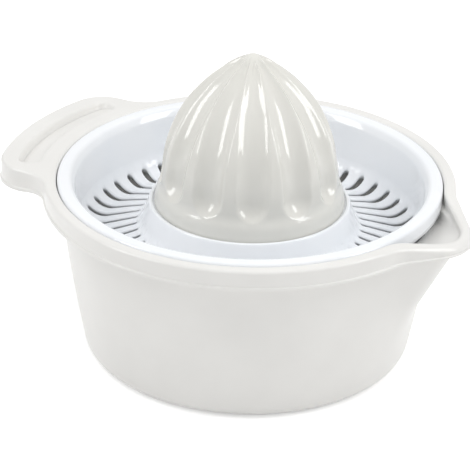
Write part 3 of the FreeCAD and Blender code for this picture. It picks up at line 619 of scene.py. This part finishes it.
def sector_loop(near, far, half, sides, ends):
    """The edge of one slot's sector, point for point with the slot's outline."""
    quarter = ends // 4

    def at(r, turn):
        return Vector((r * math.cos(turn), r * math.sin(turn)))

    run = [blend(*SLOT_RUN, i / sides) for i in range(sides + 1)]
    out = [blend(SLOT_RUN[1], far, i / quarter) for i in range(1, quarter)]
    home = [blend(SLOT_RUN[0], near, i / quarter) for i in range(1, quarter)]
    across = [blend(-half, half, i / (2 * quarter)) for i in range(2 * quarter + 1)]
    loop = [at(r, -half) for r in run + out] + [at(far, t) for t in across]
    loop += [at(r, half) for r in [*reversed(out), *reversed(run), *home]]
    loop += [at(near, -t) for t in across] + [at(r, -half) for r in reversed(home)]
    return loop


def strainer_sector():
    """One slot with its share of hub, wall and rim."""
    upper, lower = dish_paths()
    half = math.pi / SLOTS
    near, far = SECTOR_IN_R, SECTOR_OUT_R
    sides, ends, soft_steps = 16, 8, 6
    work = bmesh.new()

    def quads(rows, closed):
        made = [[work.verts.new((x * MM, y * MM, (z + LEDGE_Z) * MM)) for x, y, z in row] for row in rows]
        for a, b in zip(made, made[1:]):
            for i in range(len(a) if closed else len(a) - 1):
                j = (i + 1) % len(a)
                work.faces.new((a[i], a[j], b[j], b[i]))

    def strip(path):
        turns = [blend(-half, half, i / SECTOR_COLUMNS) for i in range(SECTOR_COLUMNS + 1)]
        quads([[(p.x * math.cos(t), p.x * math.sin(t), p.y) for t in turns] for p in path], False)

    parts = [split_path(path, near, far) for path in (upper, lower)]
    strip(parts[0][0])
    strip(parts[1][0])
    strip(parts[0][1] + parts[1][1][-2::-1])
    edge = sector_loop(near, far, half, sides, ends)
    loops = []

    def loop(points, path, drop):
        loops.append([(p.x, p.y, height_on(path, p.length) + drop) for p in points])

    for t in (0, 0.3, 0.6, 0.85):
        loop([a.lerp(b, t) for a, b in zip(edge, slot_loop(SLOT_SOFT, sides, ends))], upper, 0)
    for i in range(soft_steps + 1):
        turn = math.radians(90 * i / soft_steps)
        grow = SLOT_SOFT * (1 - math.sin(turn))
        loop(slot_loop(grow, sides, ends), upper, -SLOT_SOFT_DEEP * (1 - math.cos(turn)))
    loop(slot_loop(SLOT_FLARE, sides, ends), lower, 0)
    for t in (0.5, 0):
        loop([a.lerp(b, t) for a, b in zip(edge, slot_loop(SLOT_FLARE, sides, ends))], lower, 0)
    quads(loops, True)
    return finished_mesh("strainer_sector", work)


def key_disc_rings():
    """Middle of the strainer's hub: a key ring with four notches on a flat disc."""
    count = SLOTS * SECTOR_COLUMNS
    turns = [TAU * i / count - math.pi / SLOTS for i in range(count)]
    rings = []

    def notch(turn, r):
        """1 on the key ring, 0 in a notch."""
        aside = abs((turn + math.pi / 4) % (math.pi / 2) - math.pi / 4) * r
        return ramp(aside, *KEY_NOTCH)

    def ring(r, z, up):
        rings.append([(r * math.cos(t), r * math.sin(t), LEDGE_Z + z + up * notch(t, r)) for t in turns])

    low = HUB_Z - DISH_T
    rings.append([(0, 0, LEDGE_Z + low)])
    for r in (5, 11, 17, KEY_DISC_R):
        ring(r, low, 0)
    rings_low = len(rings)
    for r, up in ((KEY_DISC_R, 0), (KEY_R + 1.5, 0), (KEY_R + 0.4, 0), (KEY_R + 0.1, 0.12), (KEY_R, 0.5),
                  (KEY_R, KEY_H - 0.5), (KEY_R - 0.15, KEY_H - 0.15), (KEY_R - 0.5, KEY_H),
                  (KEY_R - KEY_T + 0.5, KEY_H), (KEY_R - KEY_T + 0.15, KEY_H - 0.15), (KEY_R - KEY_T, KEY_H - 0.5),
                  (KEY_R - KEY_T, 0.5), (KEY_R - KEY_T - 0.1, 0.12), (KEY_R - KEY_T - 0.4, 0), (8, 0)):
        ring(r, HUB_Z, up)
    rings.append([(0, 0, LEDGE_Z + HUB_Z)])
    return rings[:rings_low], rings[rings_low:]


def ring_tree():
    """Geometry nodes that set a sector round the axis a number of times and weld the seams."""
    tree = bpy.data.node_groups.new("ring_of_sectors", "GeometryNodeTree")
    sockets = {}
    for name, kind in (("Sector", "Geometry"), ("Count", "Int"), ("Seam", "Float"), ("Plastic", "Material")):
        sockets[name] = tree.interface.new_socket(name, in_out="INPUT", socket_type="NodeSocket" + kind).identifier
    tree.interface.new_socket("Ring", in_out="OUTPUT", socket_type="NodeSocketGeometry")
    given = node(tree, "NodeGroupInput").outputs
    points = node(tree, "GeometryNodePoints", {"Count": given["Count"]})
    step = node(tree, "ShaderNodeMath", {0: TAU, 1: given["Count"]}, operation="DIVIDE")
    index = node(tree, "GeometryNodeInputIndex")
    turn = node(tree, "ShaderNodeMath", {0: index.outputs[0], 1: step.outputs[0]}, operation="MULTIPLY")
    about = node(tree, "ShaderNodeCombineXYZ", {"Z": turn.outputs[0]})
    turned = node(tree, "FunctionNodeEulerToRotation", {0: about.outputs[0]})
    copies = node(tree, "GeometryNodeInstanceOnPoints",
                  {"Points": points.outputs[0], "Instance": given["Sector"], "Rotation": turned.outputs[0]})
    real = node(tree, "GeometryNodeRealizeInstances", {0: copies.outputs[0]})
    weld = node(tree, "GeometryNodeMergeByDistance", {"Geometry": real.outputs[0], "Distance": given["Seam"]})
    smooth = node(tree, "GeometryNodeSetShadeSmooth", {0: weld.outputs[0]})
    dressed = node(tree, "GeometryNodeSetMaterial", {"Geometry": smooth.outputs[0], "Material": given["Plastic"]})
    node(tree, "NodeGroupOutput", {"Ring": dressed.outputs[0]})
    return tree, sockets


def ring_mesh(name, sector, count, material):
    """The plain mesh of a sector set round the axis."""
    tree, sockets = ring_tree()
    carrier = bpy.data.objects.new(name + "_sector", sector)
    bpy.context.scene.collection.objects.link(carrier)
    modifier = carrier.modifiers.new("ring", "NODES")
    modifier.node_group = tree
    modifier[sockets["Count"]] = count
    modifier[sockets["Seam"]] = SEAM
    modifier[sockets["Plastic"]] = material
    graph = bpy.context.evaluated_depsgraph_get()
    mesh = bpy.data.meshes.new_from_object(carrier.evaluated_get(graph))
    carrier.modifiers.remove(modifier)
    bpy.data.objects.remove(carrier)
    mesh.name = name
    return mesh


def strainer_mesh(material):
    ring = ring_mesh("strainer_ring", strainer_sector(), SLOTS, material)
    work = bmesh.new()
    work.from_mesh(ring)
    for rings in key_disc_rings():
        disc = joined_rings("key_disc", rings)
        work.from_mesh(disc)
        bpy.data.meshes.remove(disc)
    bmesh.ops.remove_doubles(work, verts=work.verts, dist=SEAM)
    return finished_mesh("strainer_moulding", work)


TIP_RISE = math.sqrt((OGIVE_R - TIP_ROUND) ** 2 - OGIVE_C ** 2)
TIP_BOW = math.atan2(TIP_RISE, OGIVE_C)


def flute_depth(r, z, turn):
    """How deep a flute cuts towards the ogive's centre at a place on the plain cone."""
    start, end = OGIVE_R + FLUTE_ROUND - FLUTE_DEEP, OGIVE_R + FLUTE_ROUND
    back = (end ** 2 - start ** 2) / (2 * (start - end * math.cos(FLUTE_HIGH - FLUTE_LOW)))
    bow = math.atan2(z - OGIVE_Z, r + OGIVE_C)
    along = max(FLUTE_LOW - bow, 0) * OGIVE_R
    lean = max(bow - FLUTE_LOW, 0)
    path = math.sqrt((start + back) ** 2 - (back * math.sin(lean)) ** 2) - back * math.cos(lean)
    wide = 2 * math.sqrt(max(FLUTE_ROUND ** 2 - (path - OGIVE_R) ** 2, 0.01))
    across = r * math.sin(turn) * max(1, wide / (FLUTE_FILL * TAU / FLUTES * r))
    scoop = FLUTE_ROUND ** 2 - across ** 2 - along ** 2
    floor = path - math.copysign(math.sqrt(abs(scoop)), scoop)
    soft = FLUTE_SOFT * min(1, r / FLUTE_SOFT_R)
    return soft_max(math.hypot(r + OGIVE_C, z - OGIVE_Z) - floor, 0, soft) * ramp(TIP_BOW - bow, 0, FLUTE_RUN_OUT)


def reamer_sector():
    """One flute with half a rib on each side, from the base to the tip, and its share of the hollow inside."""
    columns, half = 36, math.pi / FLUTES
    turns = [blend(-half, half, i / columns) for i in range(columns + 1)]
    low_bow = math.asin((SHOULDER_Z - OGIVE_Z) / OGIVE_R)
    shoulder_r = OGIVE_R * math.cos(low_bow) - OGIVE_C
    blank = rounded_path([(CAVE[0][0], 0, 0), (REAMER_R, 0, 0.4), (COLLAR_R, COLLAR_Z, COLLAR_ROUND),
                          (shoulder_r, SHOULDER_Z, SHOULDER_ROUND), (shoulder_r, SHOULDER_Z + SHOULDER_RUN, 0)],
                         step=0.3)
    blank_top = math.asin((SHOULDER_Z + SHOULDER_RUN - OGIVE_Z) / OGIVE_R)
    rises, tip_rows = 90, 6
    for i in range(1, rises + 1):
        bow = blend(blank_top, TIP_BOW, i / rises)
        blank.append(Vector((OGIVE_R * math.cos(bow) - OGIVE_C, OGIVE_Z + OGIVE_R * math.sin(bow))))
    rows = [[(r, t, z) for t in turns] for r, z in reversed(CAVE)]
    for p in blank[1:]:
        inward = Vector((-OGIVE_C, OGIVE_Z)) - p
        row = []
        for t in turns:
            q = p + inward.normalized() * flute_depth(p.x, p.y, t)
            row.append((q.x, t, q.y))
        rows.append(row)
    for i in range(1, tip_rows + 1):
        bow = blend(TIP_BOW, math.pi / 2, i / (tip_rows + 0.3))
        r = TIP_ROUND * math.cos(bow)
        rows.append([(r, t, OGIVE_Z + TIP_RISE + TIP_ROUND * math.sin(bow)) for t in turns])
    work = bmesh.new()
    made = []
    for row in rows:
        made.append([work.verts.new((r * math.cos(t) * MM, r * math.sin(t) * MM, (z + REAMER_LOW.z) * MM))
                     for r, t, z in row])
    for a, b in zip(made, made[1:]):
        for i in range(columns):
            work.faces.new((a[i], a[i + 1], b[i + 1], b[i]))
    for ends, z in ((made[0], CAVE[-1][1]), (made[-1], REAMER_H)):
        pole = work.verts.new((0, 0, (z + REAMER_LOW.z) * MM))
        for i in range(columns):
            work.faces.new((ends[i], ends[i + 1], pole))
    return finished_mesh("reamer_sector", work)


def vane_rings():
    """Crossed vanes inside the reamer, their ends let into its wall."""
    half, far = VANE_T / 2, CAVE[0][0] + VANE_LET_IN
    quarter = [Vector((far, -half)), Vector((far, half)), Vector((half, half))]
    outline = [Matrix.Rotation(k * math.pi / 2, 2) @ p for k in range(4) for p in quarter]
    rings = [[(0, 0, VANE_LOW)]]
    for z in (VANE_LOW, VANE_TOP):
        rings.append([(p.x, p.y, z) for p in outline])
    rings.append([(0, 0, VANE_TOP)])
    return [[(x, y, z + REAMER_LOW.z) for x, y, z in ring] for ring in rings]


def reamer_mesh(material):
    work = bmesh.new()
    work.from_mesh(ring_mesh("reamer_ring", reamer_sector(), FLUTES, material))
    work.from_mesh(joined_rings("reamer_vanes", vane_rings()))
    bmesh.ops.rotate(work, matrix=Matrix.Rotation(REAMER_TURN, 3, "Z"), verts=work.verts)
    return finished_mesh("reamer_moulding", work)


def node(tree, kind, inputs=None, **settings):
    """Adds a node, sets its properties, and sets or links its inputs."""
    made = tree.nodes.new(kind)
    for name, value in settings.items():
        setattr(made, name, value)
    for name, value in (inputs or {}).items():
        if isinstance(value, bpy.types.NodeSocket):
            tree.links.new(value, made.inputs[name])
        else:
            made.inputs[name].default_value = value
    return made


def linear(code):
    """Linear colour of an sRGB hex value."""
    parts = [int(code[i:i + 2], 16) / 255 for i in (1, 3, 5)]
    return tuple(c / 12.92 if c <= 0.04045 else ((c + 0.055) / 1.055) ** 2.4 for c in parts) + (1.0,)


def new_material(name):
    material = bpy.data.materials.new(name)
    material.use_nodes = True
    material.node_tree.nodes.clear()
    return material, material.node_tree


def moulded(name, pale, deep, rough, peel, cloud_mm=28, peel_mm=0.9, peel_deep_mm=0.02, rough_spread=0.03):
    """Moulded thermoplastic: two close tones in soft flow clouds, and a fine skin that breaks up the gloss."""
    material, tree = new_material(name)
    place = node(tree, "ShaderNodeTexCoord").outputs["Object"]
    cloud = node(tree, "ShaderNodeTexNoise", {"Vector": place, "Scale": 1 / (cloud_mm * MM), "Detail": 3.0})
    tone = node(tree, "ShaderNodeMapRange", {"Value": cloud.outputs["Fac"], "From Min": 0.35, "From Max": 0.65})
    # a Mix node's colours are its inputs 6 and 7 and its output 2
    colour = node(tree, "ShaderNodeMix", {"Factor": tone.outputs[0], 6: deep, 7: pale}, data_type="RGBA")
    skin = node(tree, "ShaderNodeTexNoise", {"Vector": place, "Scale": 1 / (peel_mm * MM), "Detail": 2.0})
    bump = node(tree, "ShaderNodeBump", {"Height": skin.outputs["Fac"], "Strength": peel,
                                           "Distance": peel_deep_mm * MM})
    gloss = node(tree, "ShaderNodeMapRange", {"Value": cloud.outputs["Fac"], "From Min": 0.3, "From Max": 0.7,
                                              "To Min": rough - rough_spread, "To Max": rough + rough_spread})
    plastic = node(tree, "ShaderNodeBsdfPrincipled",
                   {"Base Color": colour.outputs[2], "Roughness": gloss.outputs[0], "Normal": bump.outputs[0],
                    "IOR": 1.49})
    node(tree, "ShaderNodeOutputMaterial", {"Surface": plastic.outputs[0]})
    return material


# Polypropylene, injection moulded: the bowl has a satin skin, the reamer a polished one; both a warm off-white
BOWL_PLASTIC = moulded("polypropylene_satin_warm_white", linear("#EAE9E6"), linear("#E6E5E2"),
                       rough=0.32, peel=0.25)
REAMER_PLASTIC = moulded("polypropylene_gloss_warm_white", linear("#E3E2DC"), linear("#DFDED8"),
                         rough=0.10, peel=0.06)
# Polystyrene, injection moulded in a polished tool: a cooler, brighter white with a clear gloss
STRAINER_PLASTIC = moulded("polystyrene_gloss_cool_white", linear("#F4F6F9"), linear("#F1F4F8"),
                           rough=0.07, peel=0.03)

for name, mesh, material in (("bowl", bowl_mesh(), BOWL_PLASTIC),
                             ("strainer", strainer_mesh(STRAINER_PLASTIC), STRAINER_PLASTIC),
                             ("reamer", reamer_mesh(REAMER_PLASTIC), REAMER_PLASTIC)):
    piece = placed(name + "_moulding", mesh, material)
    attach(piece, name)
    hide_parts(name)


def camera():
    """The photograph's camera: it looks along +Y pitched down, and all of it is turned about the bowl's axis."""
    forward = Vector((math.sin(YAW) * math.cos(PITCH), math.cos(YAW) * math.cos(PITCH), -math.sin(PITCH)))
    right = Vector((math.cos(YAW), -math.sin(YAW), 0))
    down = forward.cross(right)
    across = right * math.cos(ROLL) + down * math.sin(ROLL)
    along = down * math.cos(ROLL) - right * math.sin(ROLL)
    axes = Matrix((across, -along, -forward)).transposed().to_4x4()
    axes.translation = Vector((0, -math.cos(ELEVATION), math.sin(ELEVATION))) * DISTANCE * MM
    data = bpy.data.cameras.new("camera")
    data.sensor_width = SENSOR
    data.lens = SENSOR * FOCAL / PICTURE
    data.clip_start = 0.01
    eye = bpy.data.objects.new("camera", data)
    eye.matrix_world = Matrix.Translation((0, 0, AIM_Z * MM)) @ Matrix.Rotation(AZIMUTH, 4, "Z") @ axes
    bpy.context.scene.collection.objects.link(eye)
    bpy.context.scene.camera = eye


def lamp_at(name, turn, rise, size, power, for_gloss):
    """An area lamp aimed at the press, which shows in gloss alone or not in gloss at all."""
    data = bpy.data.lights.new(name, "AREA")
    data.shape = "RECTANGLE"
    data.size, data.size_y = size
    data.energy = power
    lamp = bpy.data.objects.new(name, data)
    lamp.visible_diffuse = not for_gloss
    lamp.visible_glossy = for_gloss
    a, e = AZIMUTH + math.radians(turn), math.radians(rise)
    back = Vector((math.sin(a) * math.cos(e), -math.cos(a) * math.cos(e), math.sin(e)))
    lamp.location = back * LAMP_AWAY + Vector((0, 0, AIM_Z * MM))
    lamp.rotation_euler = back.to_track_quat("Z", "Y").to_euler()
    bpy.context.scene.collection.objects.link(lamp)


def backdrop_share(tree):
    """1 for what the camera sees straight, in a mirror or through glass."""
    path = node(tree, "ShaderNodeLightPath").outputs
    shiny = node(tree, "ShaderNodeMath", {0: path["Is Glossy Ray"], 1: path["Is Transmission Ray"]},
                 operation="MAXIMUM")
    both = node(tree, "ShaderNodeMath", {0: path["Is Camera Ray"], 1: shiny.outputs[0]}, operation="MAXIMUM")
    return both.outputs[0]


def studio():
    """White table that keeps a soft shadow, a white surround, and the lamps."""
    mesh = bpy.data.meshes.new("table")
    mesh.from_pydata([(x * TABLE_HALF, y * TABLE_HALF, 0) for x, y in ((-1, -1), (1, -1), (1, 1), (-1, 1))],
                     [], [(0, 1, 2, 3)])
    material, tree = new_material("white_paper")
    paper = node(tree, "ShaderNodeBsdfDiffuse", {"Color": linear("#F4F4F4")})
    lit = node(tree, "ShaderNodeEmission", {"Color": WHITE, "Strength": PAPER_GLOW})
    seen = node(tree, "ShaderNodeAddShader", {0: paper.outputs[0], 1: lit.outputs[0]})
    mixed = node(tree, "ShaderNodeMixShader", {0: backdrop_share(tree), 1: paper.outputs[0], 2: seen.outputs[0]})
    node(tree, "ShaderNodeOutputMaterial", {"Surface": mixed.outputs[0]})
    placed("table", mesh, material)
    world = bpy.data.worlds.new("surround")
    world.use_nodes = True
    tree = world.node_tree
    tree.nodes.clear()
    around = node(tree, "ShaderNodeBackground", {"Color": WHITE, "Strength": SURROUND})
    white = node(tree, "ShaderNodeBackground", {"Color": WHITE, "Strength": 1.0})
    seen = node(tree, "ShaderNodeLightPath").outputs["Is Camera Ray"]
    mixed = node(tree, "ShaderNodeMixShader", {0: seen, 1: around.outputs[0], 2: white.outputs[0]})
    node(tree, "ShaderNodeOutputWorld", {"Surface": mixed.outputs[0]})
    bpy.context.scene.world = world
    for lamp in LAMPS:
        lamp_at(*lamp)


camera()
studio()
bpy.context.scene.view_settings.view_transform = "Standard"
